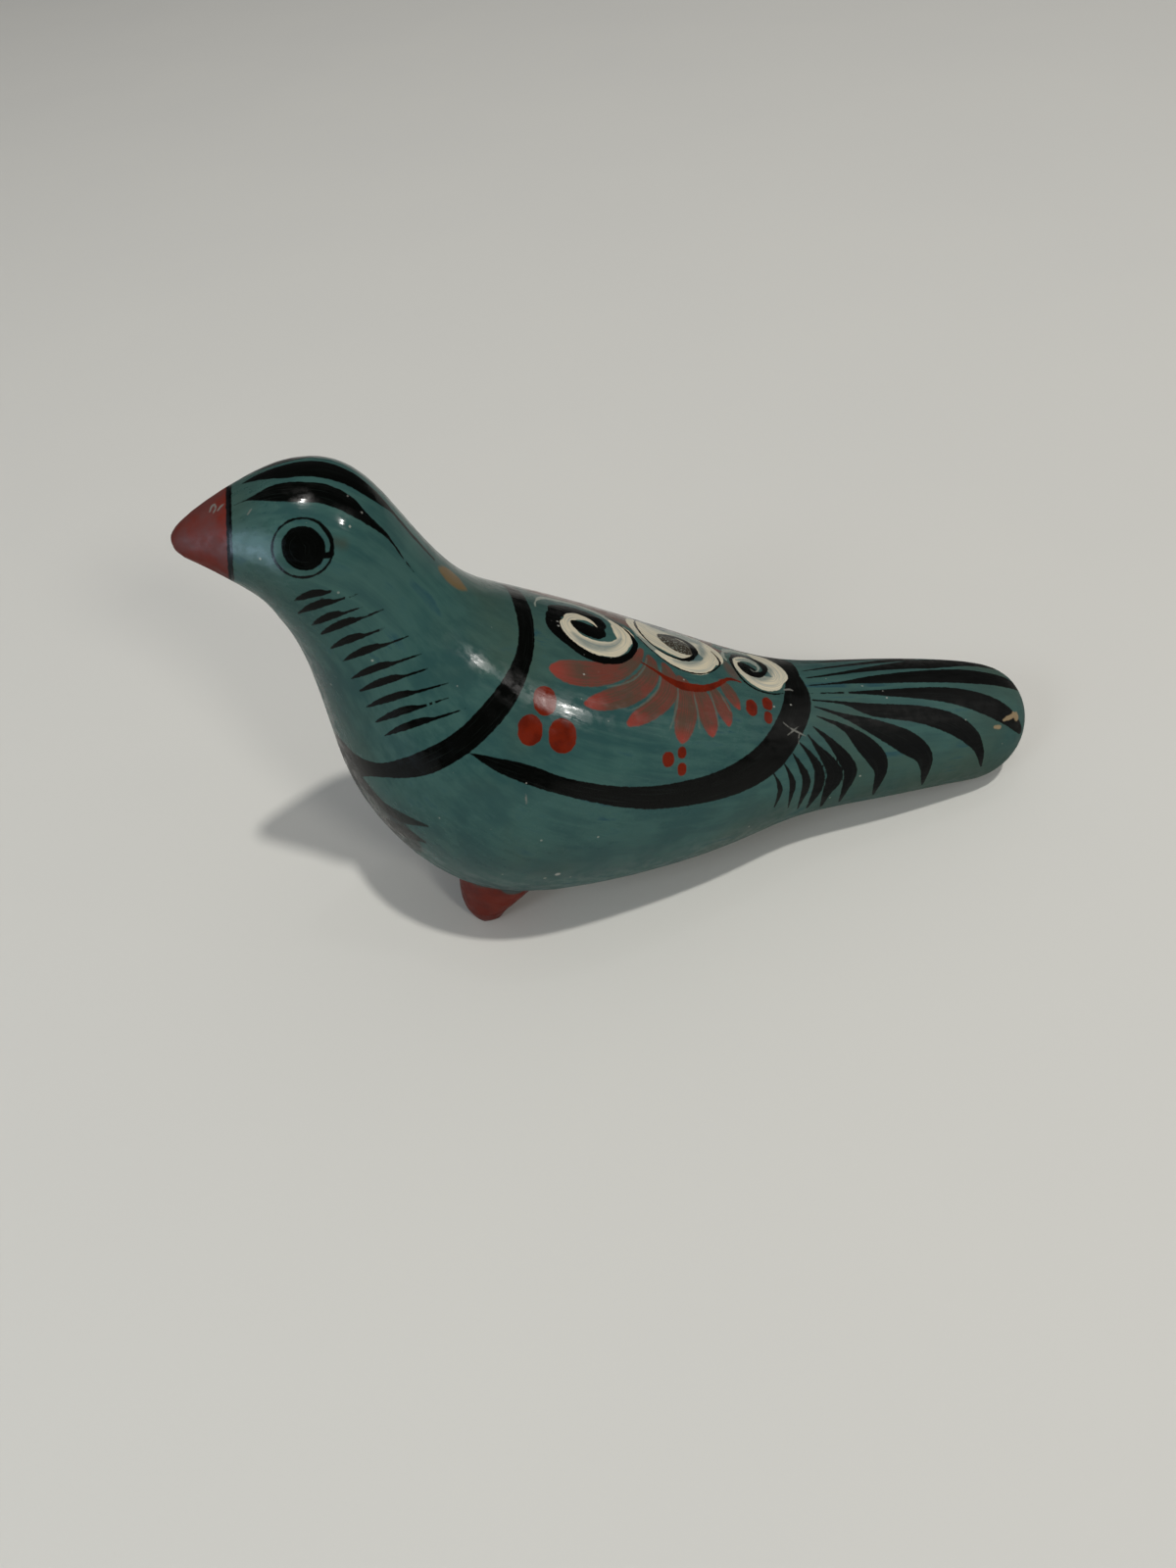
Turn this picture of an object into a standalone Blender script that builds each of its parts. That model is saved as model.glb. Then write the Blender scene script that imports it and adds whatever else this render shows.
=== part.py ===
"""A painted clay bird, resting on two peg feet and the underside of its tail.

Units are metres. +Z is up, the beak points along -X and the tail along +X. The XZ plane is the
bird's mirror plane. The origin is on the table, under the middle of the bird's length. The bird is
fired in one piece: the body is a loft of oval rings, and the two peg feet are luted to its belly.
"""

import math

import bmesh
import bpy
from mathutils import Matrix, Vector

# Driving sizes, metres.
LENGTH = 0.180  # beak to tail end
RING_POINTS = 14  # points round each ring of the body's cage
FOOT_POINTS = 10  # points round each ring of a foot's cage
SMOOTHING = 2  # subdivision levels

TAIL_FLAT_DEPTH = 0.0003  # worn flat under the tail, below the round of it
FOOT_SPREAD = 0.0232  # between the centres of the two feet
SOLE_RADIUS = 0.0034  # flat sole of a foot
SOLE_ROUND = 0.0019  # how far the foot swells just above its sole
FOOT_TAPER = 0.42  # how much a foot widens along the bird for each unit of height
FOOT_SIDE_TAPER = 0.25  # how much a foot widens across the bird for each unit of height
FOOT_FLARE = 0.55  # height where a foot stops widening, as a share of its whole height
FOOT_RINGS = (0.27, 0.55, 0.78, 1.0)  # heights of a foot's rings, shares of its whole height
FOOT_RAKE = 0.57  # how far a foot leans back for each unit of height
FOOT_ROOT = 0.55  # where a foot ends inside the body: share of the spine's height there
FOOT_STATION = -0.280  # place of the feet along the bird, as a share of its length

# The body's rings, from the beak to the tail, as shares of the length: the point on the back and
# the point on the belly line, each as place along the bird and height, then the half width.
BEAK_TIP = (-0.494, 0.620, -0.480, 0.585, 0.020)
BEAK_MIDDLE = (-0.452, 0.642, -0.442, 0.552, 0.048)
BEAK_ROOT = (-0.400, 0.658, -0.422, 0.530, 0.070)
BROW = (-0.358, 0.663, -0.418, 0.510, 0.086)
CROWN = (-0.299, 0.648, -0.410, 0.487, 0.093)
NAPE = (-0.262, 0.555, -0.403, 0.429, 0.092)
THROAT = (-0.215, 0.470, -0.407, 0.335, 0.118)
NECK_ROOT = (-0.151, 0.426, -0.408, 0.248, 0.163)
BREAST = (-0.083, 0.384, -0.357, 0.120, 0.193)
BELLY = (-0.044, 0.363, -0.258, 0.030, 0.187)
RUMP = (0.073, 0.287, 0.024, 0.012, 0.149)
TAIL_ROOT = (0.170, 0.229, 0.133, 0.032, 0.102)
TAIL_MIDDLE = (0.306, 0.201, 0.259, 0.022, 0.103)
TAIL_REAR = (0.457, 0.163, 0.373, 0.006, 0.082)
BODY_RINGS = (
    BEAK_TIP,
    BEAK_MIDDLE,
    BEAK_ROOT,
    BROW,
    CROWN,
    NAPE,
    THROAT,
    NECK_ROOT,
    BREAST,
    BELLY,
    RUMP,
    TAIL_ROOT,
    TAIL_MIDDLE,
    TAIL_REAR,
)
BEAK_POINT = 0.009  # from the first ring to the end of the beak, share of the length
BEAK_POINT_ROUND = 0.45  # the beak's end ring against the first ring
TAIL_DOME = 0.080  # depth of the rounded tail end, share of the length
DOME_STEPS = ((0.52, 0.90), (0.93, 0.56), (1.06, 0.18))  # depth in the dome, ring size there

CLAY_COLOUR = (0.075, 0.150, 0.155, 1.0)


def swell(points):
    """How much wider a cage ring is than the oval that subdivision draws it in to."""
    return 3.0 / (2.0 + math.cos(2.0 * math.pi / points))


def ring_matrix(centre, lean, half_depth, half_width):
    """Puts a unit circle, flat in XY, on an upright ring whose top leans towards +X."""
    turn = Matrix.Rotation(lean, 4, "Y")
    stand = Matrix(((0, 0, 1, 0), (0, 1, 0, 0), (1, 0, 0, 0), (0, 0, 0, 1)))
    size = Matrix.Diagonal((half_depth, half_width, 1.0, 1.0))
    return Matrix.Translation(centre) @ turn @ stand @ size


def loft(name, matrices, points):
    """A closed cage: a circle for each matrix, each bridged to the next, with both ends capped."""
    mesh = bpy.data.meshes.new(name)
    bm = bmesh.new()
    last = len(matrices) - 1
    before = None
    for index, matrix in enumerate(matrices):
        made = bmesh.ops.create_circle(
            bm, cap_ends=index in (0, last), radius=1.0, segments=points, matrix=matrix
        )
        ring = {edge for vert in made["verts"] for edge in vert.link_edges}
        if before is not None:
            bmesh.ops.bridge_loops(bm, edges=list(before | ring))
        before = ring
    bmesh.ops.recalc_face_normals(bm, faces=bm.faces)
    bm.to_mesh(mesh)
    bm.free()
    mesh.shade_smooth()
    return bpy.data.objects.new(name, mesh)


def oval(ring):
    """Centre, lean, half depth and half width of a named ring, as shares of the length."""
    back_along, back_height, belly_along, belly_height, half_width = ring
    back = Vector((back_along, 0.0, back_height))
    belly = Vector((belly_along, 0.0, belly_height))
    across = back - belly
    return (back + belly) / 2.0, math.atan2(across.x, across.z), across.length / 2.0, half_width


def body_matrices():
    """The named rings, with the beak's end before them and the tail's dome after them."""
    rings = [oval(ring) for ring in BODY_RINGS]
    centre, lean, half_depth, half_width = rings[0]
    ahead = Vector((-math.cos(lean), 0.0, math.sin(lean)))
    point = BEAK_POINT_ROUND
    rings.insert(0, (centre + BEAK_POINT * ahead, lean, point * half_depth, point * half_width))
    centre, lean, half_depth, half_width = rings[-1]
    behind = Vector((math.cos(lean), 0.0, -math.sin(lean)))
    for depth, share in DOME_STEPS:
        place = centre + depth * TAIL_DOME * behind
        rings.append((place, lean, share * half_depth, share * half_width))
    grow = swell(RING_POINTS) * LENGTH
    return [
        ring_matrix(centre * LENGTH, lean, depth * grow, width * grow)
        for centre, lean, depth, width in rings
    ]


def spine_height(along):
    """Height of the body's centre line at a place along the bird, both as shares of the length."""
    centres = [oval(ring)[0] for ring in BODY_RINGS]
    for front, rear in zip(centres, centres[1:]):
        if front.x <= along <= rear.x:
            return front.lerp(rear, (along - front.x) / (rear.x - front.x)).z
    return centres[-1].z


def foot_matrices(side):
    """Level rings from below the table up into the belly. The foot widens and leans back."""
    root = FOOT_ROOT * spine_height(FOOT_STATION) * LENGTH
    grow = swell(FOOT_POINTS)
    ankle = SOLE_RADIUS + SOLE_ROUND
    rings = [
        (-SOLE_RADIUS, SOLE_RADIUS, SOLE_RADIUS),
        (0.0, SOLE_RADIUS, SOLE_RADIUS),
        (SOLE_RADIUS, ankle, ankle),
    ]
    for share in FOOT_RINGS:
        flare = min(share, FOOT_FLARE) * root
        rings.append((share * root, ankle + FOOT_TAPER * flare, ankle + FOOT_SIDE_TAPER * flare))
    matrices = []
    for height, along, across in rings:
        lean_back = FOOT_RAKE * max(height - SOLE_RADIUS, 0.0)
        place = Vector((FOOT_STATION * LENGTH + lean_back, side * FOOT_SPREAD / 2.0, height))
        size = Matrix.Diagonal((along * grow, across * grow, 1.0, 1.0))
        matrices.append(Matrix.Translation(place) @ size)
    return matrices


def subdivide(obj):
    """Rounds a cage, the same in the viewport and in a render."""
    smooth = obj.modifiers.new("smooth", "SUBSURF")
    smooth.levels = SMOOTHING
    smooth.render_levels = SMOOTHING


def set_down(obj):
    """Centres an object along X, and lowers it until the flat under its tail is at the table."""
    graph = bpy.context.evaluated_depsgraph_get()
    points = [vert.co.copy() for vert in obj.evaluated_get(graph).to_mesh().vertices]
    front = min(point.x for point in points)
    rear = max(point.x for point in points)
    lowest = min(point.z for point in points)
    obj.location = (-(front + rear) / 2.0, 0.0, -TAIL_FLAT_DEPTH - lowest)


def join_or_cut(obj, other, operation):
    """Adds an exact Boolean of a helper, which is kept out of the render."""
    boolean = obj.modifiers.new(other.name, "BOOLEAN")
    boolean.operation = operation
    boolean.solver = "EXACT"
    boolean.object = other
    other.hide_render = True
    other.display_type = "WIRE"


def clay_material():
    """Burnished clay under its ground colour."""
    material = bpy.data.materials.new("painted_clay")
    material.use_nodes = True
    shader = material.node_tree.nodes["Principled BSDF"]
    shader.inputs["Base Color"].default_value = CLAY_COLOUR
    shader.inputs["Roughness"].default_value = 0.3
    shader.inputs["Metallic"].default_value = 0.0
    material.diffuse_color = CLAY_COLOUR
    return material


def main():
    for obj in list(bpy.data.objects):
        bpy.data.objects.remove(obj, do_unlink=True)
    bird_collection = bpy.data.collections.new("clay_bird")
    helpers = bpy.data.collections.new("joined_and_cut")
    bpy.context.scene.collection.children.link(bird_collection)
    bpy.context.scene.collection.children.link(helpers)

    bird = loft("bird", body_matrices(), RING_POINTS)
    bird_collection.objects.link(bird)
    bird.data.materials.append(clay_material())
    subdivide(bird)
    set_down(bird)

    for side, name in ((-1.0, "foot_left"), (1.0, "foot_right")):
        foot = loft(name, foot_matrices(side), FOOT_POINTS)
        helpers.objects.link(foot)
        subdivide(foot)
        foot.location.x = bird.location.x
        join_or_cut(bird, foot, "UNION")

    bpy.ops.mesh.primitive_cube_add(size=1.0)
    table = bpy.context.object
    table.name = "table_plane"
    table.scale = (2.0 * LENGTH, 2.0 * LENGTH, LENGTH)
    table.location = (0.0, 0.0, -LENGTH / 2.0)
    for collection in list(table.users_collection):
        collection.objects.unlink(table)
    helpers.objects.link(table)
    join_or_cut(bird, table, "DIFFERENCE")


main()
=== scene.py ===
# %% [markdown]
# This lesson dresses a small clay bird, of the kind that is burnished and then painted with quick
# brush marks. The solid bird is already made, and the skin laid on it here keeps its size to about
# half a millimetre. What is new is that smooth skin, its slip and paint, the wear on it, and the
# table, light and camera that show it.

# %% Load the solid bird
import math

import bpy
import numpy as np
from mathutils import Matrix, Vector
from mathutils.bvhtree import BVHTree


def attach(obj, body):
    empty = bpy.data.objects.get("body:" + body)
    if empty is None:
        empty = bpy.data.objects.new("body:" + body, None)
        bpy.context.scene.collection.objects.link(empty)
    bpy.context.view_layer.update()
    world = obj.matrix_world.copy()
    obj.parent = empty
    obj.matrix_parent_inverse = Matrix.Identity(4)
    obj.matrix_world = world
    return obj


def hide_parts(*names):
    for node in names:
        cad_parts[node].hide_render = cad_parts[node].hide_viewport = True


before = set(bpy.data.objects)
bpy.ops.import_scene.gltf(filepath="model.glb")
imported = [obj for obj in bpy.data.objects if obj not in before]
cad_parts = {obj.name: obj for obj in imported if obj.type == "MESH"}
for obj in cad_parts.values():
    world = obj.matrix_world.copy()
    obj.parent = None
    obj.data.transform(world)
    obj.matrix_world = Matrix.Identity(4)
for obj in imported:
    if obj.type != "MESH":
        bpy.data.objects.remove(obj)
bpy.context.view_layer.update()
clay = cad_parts["bird"]
MM = 0.001

# %% [markdown]
# The photograph was taken from above, at the bird's left side. The weave of the cloth under the bird
# gave the camera's height, its tilt and its lens. The camera comes first, because each brush mark is
# placed through it: a pixel of the photograph becomes a line of sight that ends on the clay.

# %% Stand the camera where the photograph was taken
PHOTO_MIDDLE = (600, 800)
FOCAL_PIXELS = 1202
LONG_SIDE_PIXELS = 1600
FILM_WIDTH = 36
EYE = Vector((-0.04135, -0.20108, 0.22151))
RIGHT = Vector((0.97141, -0.2093, -0.11203))
DOWN = Vector((-0.22611, -0.67199, -0.7052))
AHEAD = Vector((0.07232, 0.71037, -0.70011))

bpy.ops.object.select_all(action="DESELECT")
bpy.ops.object.camera_add()
camera = bpy.context.object
camera.name = "camera"
camera.data.sensor_width = FILM_WIDTH
camera.data.lens = FILM_WIDTH * FOCAL_PIXELS / LONG_SIDE_PIXELS
camera.data.clip_start = 0.01
turned = Matrix((RIGHT, -DOWN, -AHEAD)).transposed()
camera.matrix_world = Matrix.Translation(EYE) @ turned.to_4x4()
bpy.context.scene.camera = camera
print("the lens is", round(camera.data.lens, 1), "mm, and the camera stands", round(EYE.z, 3), "m up")

# %% [markdown]
# The bird's skin is one closed shell of leather-hard clay, rubbed smooth with a stone. A copy of the
# solid is merged into one skin, given an even net of small faces and relaxed, as rubbing would do.
# Each rub is followed by its opposite, so that the bird doesn't shrink. The even net matters for the
# paint, because each of its points will hold how far it is from the brush marks.

# %% Rub the skin smooth
NET = 0.00105
SEAM = 0.00002
ROUNDS = 5
RUBS = 5
RUB = 0.5


def apply_modifier(piece, kind, **settings):
    """Adds one modifier, sets it and applies it."""
    modifier = piece.modifiers.new(kind.title(), kind)
    for name, value in settings.items():
        setattr(modifier, name, value)
    bpy.ops.object.modifier_apply(modifier=modifier.name)


bpy.ops.object.select_all(action="DESELECT")
skin = bpy.data.objects.new("painted_bird", clay.data.copy())
bpy.context.scene.collection.objects.link(skin)
bpy.context.view_layer.objects.active = skin
skin.select_set(True)
bpy.ops.object.mode_set(mode="EDIT")
bpy.ops.mesh.select_all(action="SELECT")
bpy.ops.mesh.remove_doubles(threshold=SEAM)
bpy.ops.object.mode_set(mode="OBJECT")
apply_modifier(skin, "REMESH", mode="VOXEL", voxel_size=NET, adaptivity=0)
for _ in range(ROUNDS):
    apply_modifier(skin, "SMOOTH", factor=RUB, iterations=RUBS)
    apply_modifier(skin, "SMOOTH", factor=-RUB, iterations=RUBS)
print("the rubbed skin has", len(skin.data.polygons), "even faces")

# %% [markdown]
# The solid's head and neck lie a touch off the outline in the photograph. A few light presses on the
# middle line, such as a thumb makes in soft clay, correct the beak's tip, the crown, the nape and
# the throat. Each press fades away smoothly round its spot, and all together they move the clay by
# less than a millimetre.

# %% Press the head and the neck to their outline
# Each press has its spot, its push and its reach, in millimetres.
PRESSES = [
    ((-89.5, 0, 110.8), (-0.57, 0, -0.07), 7),
    ((-73.9, 0, 118.8), (0.05, 0, -0.41), 12),
    ((-64.0, 0, 121.0), (0, 0, -0.20), 9),
    ((-53.8, 0, 114.1), (0.29, 0, 0.26), 9),
    ((-48.7, 0, 105.6), (0.59, 0, 0.41), 12),
    ((-42.8, 0, 92.7), (0.36, 0, 0.42), 12),
    ((-79.8, 0, 96.0), (-0.45, 0, -0.57), 13),
    ((-75.8, 0, 86.9), (-0.30, 0, -0.25), 12),
    ((-73.3, 0, 74.6), (-0.35, 0, -0.10), 13),
]
places = np.empty(len(skin.data.vertices) * 3)
skin.data.vertices.foreach_get("co", places)
places = places.reshape(-1, 3) / MM
pushed = np.zeros_like(places)
for spot, push, reach in PRESSES:
    near = np.exp(-((places - spot) ** 2).sum(axis=1) / reach**2)
    pushed += near[:, None] * np.array(push)
places[:, 2] = np.maximum(places[:, 2] + pushed[:, 2], 0)
places[:, 0] += pushed[:, 0]
skin.data.vertices.foreach_set("co", (places * MM).ravel())
skin.data.update()
print("the thumb moved the clay by", np.linalg.norm(pushed, axis=1).max().round(2), "mm at the most")
print("the skin now reaches from", places.min(axis=0).round(2), "to", places.max(axis=0).round(2))

# %% [markdown]
# A painter looks along the brush at the clay. Here each pixel of the photograph is followed along its
# line of sight until it meets the skin, so a mark can be checked against the photograph.

# %% Send a pixel of the photograph to the clay
tree = BVHTree.FromPolygons(
    [v.co[:] for v in skin.data.vertices], [p.vertices[:] for p in skin.data.polygons]
)
REACH = np.linspace(0.15, 0.45, 61)


def line_of_sight(x, y):
    """The direction from the camera through one pixel of the photograph."""
    across = (x - PHOTO_MIDDLE[0]) / FOCAL_PIXELS
    down = (y - PHOTO_MIDDLE[1]) / FOCAL_PIXELS
    return (RIGHT * across + DOWN * down + AHEAD).normalized()


def touch(x, y):
    """Where the brush touches the clay. A pixel just past the outline goes to the nearest clay."""
    sight = line_of_sight(x, y)
    place = tree.ray_cast(EYE, sight)[0]
    if place is None:
        near = [tree.find_nearest(EYE + sight * reach) for reach in REACH]
        place = min(near, key=lambda found: found[3])[0]
    return np.array(place) / MM


print("a pixel on the back is", touch(660, 640).round(1), "mm from the origin")

# %% [markdown]
# A brush mark is written as a row of points, each with its place and the mark's width there. A smooth
# curve through them is what the moving hand draws. A wide band is easier to read as two edges, which
# are turned into the same kind of row.

# %% Read a mark as a smooth row
SPAN_STEPS = 8
EDGE_STEPS = 15


def smooth_row(rows, steps=SPAN_STEPS):
    """A smooth curve through rows of numbers, with the same number of steps between each two."""
    rows = np.array(rows, float)
    rows = np.vstack([2 * rows[0] - rows[1], rows, 2 * rows[-1] - rows[-2]])
    share = np.linspace(0, 1, steps, endpoint=False)[:, None]
    curve = []
    for a, b, c, d in zip(rows, rows[1:], rows[2:], rows[3:]):
        bend = (2 * a - 5 * b + 4 * c - d) * share**2 + (3 * b - a - 3 * c + d) * share**3
        curve.append(0.5 * (2 * b + (c - a) * share + bend))
    return np.vstack(curve + [rows[-2][None]])


def between(one_edge, other_edge, steps=EDGE_STEPS):
    """The row of a mark that is given by its two edges."""
    edges = []
    for edge in (one_edge, other_edge):
        curve = smooth_row(edge)
        gone = np.concatenate([[0], np.cumsum(np.linalg.norm(np.diff(curve, axis=0), axis=1))])
        places = np.linspace(0, gone[-1], steps)
        edges.append(np.stack([np.interp(places, gone, curve[:, i]) for i in (0, 1)], axis=1))
    middle = (edges[0] + edges[1]) / 2
    run = np.gradient(middle, axis=0)
    run /= np.linalg.norm(run, axis=1)[:, None]
    apart = edges[0] - edges[1]
    width = np.abs(apart[:, 0] * run[:, 1] - apart[:, 1] * run[:, 0])
    return np.column_stack([middle, width])


def closeup(left, top, zoom):
    """Turns a row read off an enlargement of the photograph into the photograph's pixels."""
    corner = np.array((left, top, 0))
    return lambda rows: np.array(rows, float) / zoom + corner[: len(rows[0])]


print("a row of 3 points becomes", len(smooth_row([(0, 0), (1, 0), (1, 1)])), "points")

# %% [markdown]
# Each point of a row is sent to the skin, and so are the mark's two edges there. That gives the true
# width on the clay, even where the skin turns away. A mark of the bird's near side is painted on its
# far side as well. A mark on the spine is painted once, and so is the wear.

# %% Lay a brush mark on the clay
marks = []
END_TAPER = 14
START_IS_BLUNTER = 3
STEADY = 30


def brush(paint, rows, mirrored=True, widest=None):
    """Puts one mark on the clay, and on both of the bird's sides when mirrored. Where the skin turns
    out of sight a mark can't be read well, so there its half width is held to the widest one in
    millimetres, its path is steadied and its ends are closed."""
    curve = smooth_row(rows)
    run = np.gradient(curve[:, :2], axis=0)
    run /= np.linalg.norm(run, axis=1)[:, None] + 1e-9
    path, half = [], []
    for (x, y, width), (along_x, along_y) in zip(curve, run):
        out_x, out_y = -along_y * max(width, 0) / 2, along_x * max(width, 0) / 2
        one, other = touch(x + out_x, y + out_y), touch(x - out_x, y - out_y)
        middle = tree.find_nearest(Vector((one + other) / 2 * MM))[0]
        path.append(np.array(middle) / MM)
        half.append(np.linalg.norm(one - other) / 2)
    path, half = np.array(path), np.array(half)
    if widest:
        for _ in range(STEADY):
            path[1:-1] = (path[:-2] + 2 * path[1:-1] + path[2:]) / 4
        path = np.array([tree.find_nearest(Vector(spot * MM))[0][:] for spot in path]) / MM
        from_start = np.array([np.linalg.norm(spot - path[0]) for spot in path])
        from_end = np.array([np.linalg.norm(spot - path[-1]) for spot in path])
        to_end = np.minimum(from_start * START_IS_BLUNTER, from_end)
        half = np.minimum(half, widest * np.sqrt(np.minimum(to_end / END_TAPER, 1)))
    marks.append((paint, path, half, mirrored))


print("the brush is ready, and closes a steadied mark over its last", END_TAPER, "mm")

# %% [markdown]
# The head has a dark stripe over the crown, and a brow stripe on each side with a long thin tail. Both
# start fat, where the loaded brush lands, and run out thin.

# %% Brush the crown and the brows
head = closeup(230, 450, 6.817)
CROWN_LOW = [(110, 300), (270, 262), (430, 255), (560, 245), (700, 262), (850, 310), (960, 370),
             (1060, 430), (1146, 490), (1290, 655), (1450, 828)]
CROWN_HIGH = [(110, 298), (200, 245), (330, 190), (480, 150), (620, 138), (760, 165), (900, 230),
              (1000, 312), (1095, 404), (1157, 478), (1297, 643), (1453, 819)]
BROW_LOW = [(30, 462), (150, 417), (300, 415), (480, 425), (640, 430), (760, 465), (880, 520),
            (980, 580), (1080, 640), (1150, 705), (1230, 815), (1310, 912)]
BROW_HIGH = [(30, 458), (150, 405), (215, 370), (280, 330), (400, 290), (560, 285), (700, 300),
             (820, 350), (900, 410), (960, 480), (1030, 550), (1130, 650), (1235, 805), (1310, 908)]

brush("black", between(head(CROWN_LOW), head(CROWN_HIGH)), mirrored=False)
brush("black", between(head(BROW_LOW), head(BROW_HIGH)))
print("the stripes make", len(marks), "marks")

# %% [markdown]
# The eye is a black disc in a thin ring. The ring was drawn in one turn of a fine brush, so it is
# thicker at the back, where the brush pressed harder and left a small blob.

# %% Draw the eye
EYE_MIDDLE = (537, 743)
EYE_RADII = (213, 207)
EYE_LINE = 17
PUPIL = [(542, 742, 300), (546, 752, 300)]
EYE_BLOB = [(738, 740, 26), (732, 790, 44), (640, 800, 40)]
EYE_LINE_THICK = [(560, 535, 14), (640, 562, 22), (700, 625, 26), (738, 700, 26), (742, 760, 24)]


def ring(middle, radii, width, steps=16):
    """The row of an oval line."""
    row = []
    for i in range(steps + 1):
        angle = 2 * math.pi * i / steps
        x, y = radii[0] * math.cos(angle), radii[1] * math.sin(angle)
        row.append((middle[0] + x, middle[1] + y, width))
    return row


brush("black", head(ring(EYE_MIDDLE, EYE_RADII, EYE_LINE)))
brush("black", head(PUPIL))
brush("black", head(EYE_BLOB))
brush("black", head(EYE_LINE_THICK))
print("with the eye there are", len(marks), "marks")

# %% [markdown]
# Eleven short dashes run down the throat. Each is one touch of the brush, which swells soon after it
# lands and is lifted away to a hairline. So one shape is written once and laid between two ends.

# %% Dash the throat
THROAT_DASHES = [((300, 613), (354, 600)), ((304, 626), (365, 606)), ((318, 638), (370, 619)),
                 ((326, 648), (391, 622)), ((337, 662), (395, 640)), ((349, 675), (417, 649)),
                 ((358, 693), (430, 667)), ((366, 706), (440, 681)), ((373, 722), (457, 697)),
                 ((383, 737), (458, 712)), ((392, 751), (475, 723))]
DASH_SHAPE = [(0.0, 0.0, 0.8), (0.08, 0.8, 3.6), (0.20, 1.8, 6.6), (0.36, 2.4, 8.0),
              (0.50, 1.8, 7.0), (0.58, 0.8, 4.4), (0.66, 0.3, 3.0), (0.85, 0.0, 2.2), (1.0, 0.0, 0.8)]

for (x0, y0), (x1, y1) in THROAT_DASHES:
    brush("black", [(x0 + (x1 - x0) * share, y0 + (y1 - y0) * share - lift, width)
                    for share, lift, width in DASH_SHAPE])
print("the head has", len(marks), "marks")

# %% [markdown]
# A broad black band runs round the neck like a collar, and a second one outlines the folded wing and
# closes over the back at the tail's root. They are drawn by their two edges, because their width
# swells and thins with the hand's pressure.

# %% Brush the collar and the wing's outline
COLLAR_REAR = [(526, 596), (533, 604), (545, 648), (538, 689), (517, 730), (479, 768), (438, 790),
               (405, 793), (372, 789), (349, 778)]
COLLAR_FRONT = [(510, 592), (519, 601), (529, 633), (526, 668), (503, 707), (459, 751), (400, 777),
                (370, 776), (344, 759)]
WING_TOP = [(479, 768), (532, 778), (582, 795), (649, 803), (708, 795), (752, 778), (781, 754),
            (798, 724), (803, 706), (805, 695), (800, 685), (788, 677), (777, 671)]
WING_LOW = [(479, 769), (517, 792), (576, 812), (652, 825), (711, 820), (767, 803), (805, 774),
            (822, 742), (828, 724), (826, 706), (821, 695), (809, 684), (796, 676), (777, 670)]

brush("black", between(COLLAR_REAR, COLLAR_FRONT))
brush("black", between(WING_TOP, WING_LOW))
print("now there are", len(marks), "marks")

# %% [markdown]
# Below the collar, wet black paint was dragged over the breast. It left a grey smear with two darker
# forks and a hair's line beside it.

# %% Smear the breast
BREAST_SMEAR = [(362, 789, 5), (374, 808, 12), (388, 827, 17), (400, 840, 18), (409, 848, 8)]
BREAST_EDGE = [(366, 790, 2), (376, 805, 5), (391, 822, 6), (410, 834, 8), (436, 843, 2)]
BREAST_FORK = [(400, 843, 5), (416, 850, 7), (433, 859, 2)]
BREAST_HAIR = [(357, 790, 1.5), (369, 818, 2), (392, 845, 2), (424, 866, 1.5)]

brush("wash", BREAST_SMEAR)
brush("wash", BREAST_HAIR)
brush("smear", BREAST_EDGE)
brush("smear", BREAST_FORK)
print("now there are", len(marks), "marks")

# %% [markdown]
# Three discs sit in a row on the spine. Each is a fat white stroke wound round a black comma, with a
# black line round it. The rows below follow the brush as it was wound. The layers lie as they were
# painted: black first, then white, then the black commas and hairlines.

# %% Wind the front disc
front_disc = closeup(545, 592, 8.295)
FRONT_BLACK = [(838, 495, 10), (856, 552, 44), (820, 625, 56), (740, 672, 58), (640, 680, 58),
               (540, 664, 62), (430, 615, 68), (320, 532, 76), (230, 452, 90), (176, 385, 102),
               (165, 325, 114), (175, 272, 98), (230, 254, 70), (300, 256, 52), (370, 270, 46),
               (440, 298, 54), (500, 334, 68), (542, 374, 72), (552, 415, 66)]
FRONT_THIN = [(12, 228, 6), (8, 190, 12), (28, 160, 13), (75, 149, 14), (160, 165, 13),
              (300, 196, 13), (420, 235, 14), (520, 275, 15), (600, 316, 18), (650, 350, 22)]
FRONT_WHITE = [(640, 345, 12), (690, 386, 36), (740, 435, 82), (765, 490, 120), (745, 545, 124),
               (674, 583, 120), (580, 581, 112), (487, 556, 104), (374, 494, 86), (306, 428, 84),
               (274, 368, 78), (285, 325, 62), (325, 308, 48), (372, 309, 40), (430, 326, 27),
               (482, 354, 18), (512, 376, 11), (533, 399, 4)]
FRONT_COMMA = [(334, 353, 16), (355, 370, 50), (400, 396, 80), (450, 421, 90), (505, 440, 92),
               (545, 442, 78)]
FRONT_HAZE = [(330, 450, 16), (400, 505, 40), (490, 550, 52), (600, 568, 48), (690, 545, 34),
              (735, 500, 18)]
FRONT_RIM = [(600, 308, 3), (680, 354, 6), (760, 410, 8), (812, 460, 12), (840, 502, 22),
             (856, 550, 40), (836, 604, 48), (792, 648, 50), (735, 670, 50)]

brush("black", front_disc(FRONT_BLACK), mirrored=False)
brush("thin", front_disc(FRONT_THIN), mirrored=False)
brush("white", front_disc(FRONT_WHITE), mirrored=False)
brush("haze", front_disc(FRONT_HAZE), mirrored=False)
brush("line", front_disc(FRONT_COMMA), mirrored=False)
brush("line", front_disc(FRONT_RIM), mirrored=False)
print("with the front disc there are", len(marks), "marks")

# %% [markdown]
# The camera sees the middle and the rear disc more and more edge on. Their rows were read off one
# enlargement, so their strokes are listed together and then painted layer by layer.

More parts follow.
